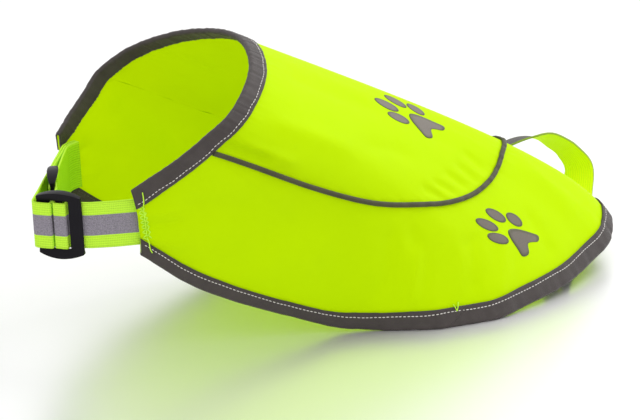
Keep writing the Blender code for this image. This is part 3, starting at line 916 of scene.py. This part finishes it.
def insideTip(side, back, depth):
    edge = clothPoint(tip, goreLength(tip) / 2)
    behind = clothPoint(tip - 0.5, goreLength(tip - 0.5) / 2)
    along = (behind - edge).xy.normalized()
    inwards = Vector((along.y, -along.x))
    place = edge.xy + along * back + inwards * depth
    return (place.x, side * place.y, 12.0)


def makeWebbing(name, node, corners, stripeOnLeft):
    # the striped face is on the left of the path as it runs, or on its right
    path = roundedPath(corners)
    runs = np.concatenate([[0], np.cumsum(np.linalg.norm(np.diff(path, axis=0), axis=1))])

    def place(u, v):
        s = (1 - u if stripeOnLeft else u) * runs[-1]
        x, y = np.interp(s, runs, path[:, 0]), np.interp(s, runs, path[:, 1])
        wave = chest["wave"] * np.sin(s * 0.21) * (2 * v - 1) ** 2
        return drooped(np.array([x, y, chest["height"] + (v - 0.5) * chest["width"] + wave]).T)

    cells = (round(runs[-1] * 2.5), 16)  # along it and across it
    mesh = laidGrid(cells, place, (runs[-1] * mm, chest["width"] * mm))
    addWall(finishPiece(name, mesh, [stripedWebbing, plainWebbing], [node], "webbing"), chest["thick"], 0, 1)


def makeSlider(name, node, place):
    across = alongSlider(place)
    side, gap, length = slider["sideBar"], slider["slot"], sliderLength
    half = slider["slotHeight"] / 2
    columns = [0, side / 3, side * 2 / 3, side, side + gap, length / 2]
    columns += [length - u for u in reversed(columns[:-1])]
    rows = [-half - slider["plateHeight"], -half, -half / 3, half / 3, half, half + slider["plateHeight"]]
    mesh = bmesh.new()
    bmesh.ops.create_grid(mesh, x_segments=len(columns) - 1, y_segments=len(rows) - 1, size=1)

    def cell(position):
        return (position.x + 1) / 2 * (len(columns) - 1), (position.y + 1) / 2 * (len(rows) - 1)

    holes = []
    for face in mesh.faces:
        column, row = (int(n) for n in cell(face.calc_center_median()))
        if column in (3, len(columns) - 5) and 0 < row < len(rows) - 2:
            holes.append(face)
    bmesh.ops.delete(mesh, geom=holes, context="FACES")
    for vert in mesh.verts:
        column, row = (round(n) for n in cell(vert.co))
        arch = slider["arch"] * (1 - (2 * columns[column] / length - 1) ** 2)
        outer = {0: -1, len(rows) - 1: 1}.get(row, 0)
        vert.co = (columns[column], rows[row] + outer * arch, 0)
    grown = bmesh.ops.extrude_face_region(mesh, geom=mesh.faces[:])
    front = {item for item in grown["geom"] if isinstance(item, bmesh.types.BMVert)}
    for vert in mesh.verts:
        bulge = slider["bulge"] * (1 - (2 * vert.co.x / length - 1) ** 2)
        thick = slider["plateThick"] + bulge if abs(vert.co.y) > half + 0.01 else slider["barThick"]
        x, y, _ = across(vert.co.x, thick / 2 if vert in front else -thick / 2)
        vert.co = inFrame(drooped(np.array([[x, y, chest["height"] + vert.co.y]])))[0]
    bmesh.ops.recalc_face_normals(mesh, faces=mesh.faces)
    bmesh.ops.bevel(
        mesh,
        geom=[edge for edge in mesh.edges if edge.calc_face_angle(0) > radians(40)],
        offset=slider["rounding"] * mm,
        offset_type="OFFSET",
        affect="EDGES",
        segments=3,
        profile=0.5,
        material=-1,
    )
    finishPiece(name, mesh, [blackPlastic], [node], "plastic")


def makeChest():
    near, far = alongSlider(nearSlider), alongSlider(farSlider)
    play = cloth["gap"] + 0.1  # between webbing and bars
    close = slider["barThick"] / 2 + play + chest["thick"] / 2
    layer = chest["thick"] + play
    firstSlot = slider["sideBar"] + slider["slot"] / 2
    secondSlot = slider["sideBar"] + slider["slot"] + slider["centreBar"]
    atCentreBar = secondSlot + 1.0
    atSideBar = secondSlot + slider["slot"] - 0.95
    seat = cloth["wall"] + cloth["gap"] + cloth["leaf"] + chest["tipPlay"] + chest["thick"] / 2
    farSeat = seat + layer + 2 * cloth["gap"]
    quarter = slider["sideBar"] / 4
    nearRun = [
        insideTip(-1, chest["sewn"], seat),
        insideTip(-1, 0, seat),
        near(-3, -close, 20),
        near(firstSlot, -close),
        near(firstSlot, close),
        near(atCentreBar, close),
        near(atCentreBar, -close - layer),
        near(quarter, -close - layer),
    ]
    frontRun = [
        insideTip(1, chest["sewn"], seat),
        insideTip(1, 0, seat),
        near(sliderLength + 2.2, close + 0.8, 3.4),
        near(atSideBar, close + 0.8),
        near(atSideBar, -close - 3, 3),
        far(-3, -close, 6),
        far(firstSlot, -close),
        far(firstSlot, close),
        far(quarter, close),
    ]
    farLoop = [
        insideTip(1, chest["sewn"], farSeat),
        insideTip(1, 0, farSeat),
        far(sliderLength + 3, close, 10),
        far(atSideBar, close),
        far(atSideBar, -close),
        far(sliderLength + 3, -close, 10),
        insideTip(1, 0, farSeat + layer),
        insideTip(1, chest["sewn"], farSeat + layer),
    ]
    makeWebbing("nearWebbing", "strap_near", nearRun, True)
    makeWebbing("frontWebbing", "strap_front", frontRun, False)
    makeWebbing("farWebbing", "strap_far", farLoop, True)
    makeSlider("nearSliderPlastic", "slider_near", nearSlider)
    makeSlider("farSliderPlastic", "slider_far", farSlider)


belly = dict(
    width=20.0,
    thick=1.3,
    gore=3.0,  # where it is sewn in, on either side
    sewn=(16.0, 8.0),  # millimetres above the hem
    heading=150,
    play=1.2,  # between it and the tape
    cup=0.25,
    weaveReach=0.43,  # metres that the weave is mapped over, end to end
)
bellyStops = [  # x, y, z, plan heading of the strap's width, bank of that width
    (92.8, 59.2, 4, 150, 0),
    (96, 64.5, 1.2, 150, 0),
    (103, 76, 2, 148, 0),
    (109, 88, 9, 120, 0),
    (114, 93, 24, 80, 0),
    (121, 92, 37, 55, -3),
    (133, 87, 44.5, 55, -5),
    (145, 80, 48, 65, -21),
    (155, 74, 46.5, 88, -40),
    (163, 68, 40.5, 112, -22),
    (168, 61, 30, 125, -6),
    (162, 51, 17, 138, 0),
    (153, 36, 5, 146, 0),
    (143, 18, 1.2, 149, 0),
    (126, -8, 1.2, 150, 0),
    (108, -33, 1.4, 158, 0),
    (96, -50, 2.9, 190, 0),
    (92.2, -57.4, 5.6, 208, 0),
]


def sewnStop(side, up, heading):
    depth = cloth["wall"] + 2 * cloth["gap"] + cloth["leaf"] + belly["thick"] / 2 + belly["play"]
    t = side * belly["gore"]
    return (*clothPoint(t, goreLength(t) - up, -depth), heading, 0)


def makeBellyStrap():
    stops = [sewnStop(1, up, belly["heading"]) for up in belly["sewn"]]
    stops += bellyStops
    stops += [sewnStop(-1, up, 360 - belly["heading"]) for up in reversed(belly["sewn"])]
    rows = np.array(stops, float)
    last = len(rows) - 1

    def place(u, v):
        s = u * last
        row = smoothRoute(rows, s)
        along = smoothRoute(rows, s + nextStep)[:, :3] - smoothRoute(rows, s - nextStep)[:, :3]
        along /= np.linalg.norm(along, axis=1)[:, None]
        heading, bank = np.radians(row[:, 3]), np.radians(row[:, 4])
        across = np.array([np.cos(heading) * np.cos(bank), np.sin(heading) * np.cos(bank), np.sin(bank)]).T
        across -= along * np.sum(across * along, axis=1)[:, None]
        across /= np.linalg.norm(across, axis=1)[:, None]
        cup = belly["cup"] * (1 - (2 * v - 1) ** 2)
        fromMiddle = (v - 0.5) * belly["width"]
        return row[:, :3] + across * fromMiddle[:, None] + np.cross(along, across) * cup[:, None]

    mesh = laidGrid((300, 14), place, (belly["weaveReach"], belly["width"] * mm))
    piece = finishPiece("bellyElastic", mesh, [beltOutside, beltInside], ["belly_strap"], "belly_webbing")
    addWall(piece, belly["thick"], 0, 1)


def makeFloor():
    mesh = bmesh.new()
    bmesh.ops.create_grid(mesh, x_segments=2, y_segments=2, size=6)
    finishPiece("floor", mesh, [floorMaterial()])


print("studio")
placeCamera()
lightStudio()
makeFloor()
print("panels")
makePanels()
print("tapes and piping")
makeTapes()
makePiping()
print("stitches")
makeTapeStitches("neckStitches", False, 2.6)
makeTapeStitches("hemStitches", True, 2.9)
makeTipStitches()
for row in threadEnds:
    makeThreadEnd(*row)
print("prints")
for row in printPlaces:
    makePrint(*row, -1, "near")
    makePrint(*row, 1, "far")
print("webbing and sliders")
makeChest()
makeBellyStrap()
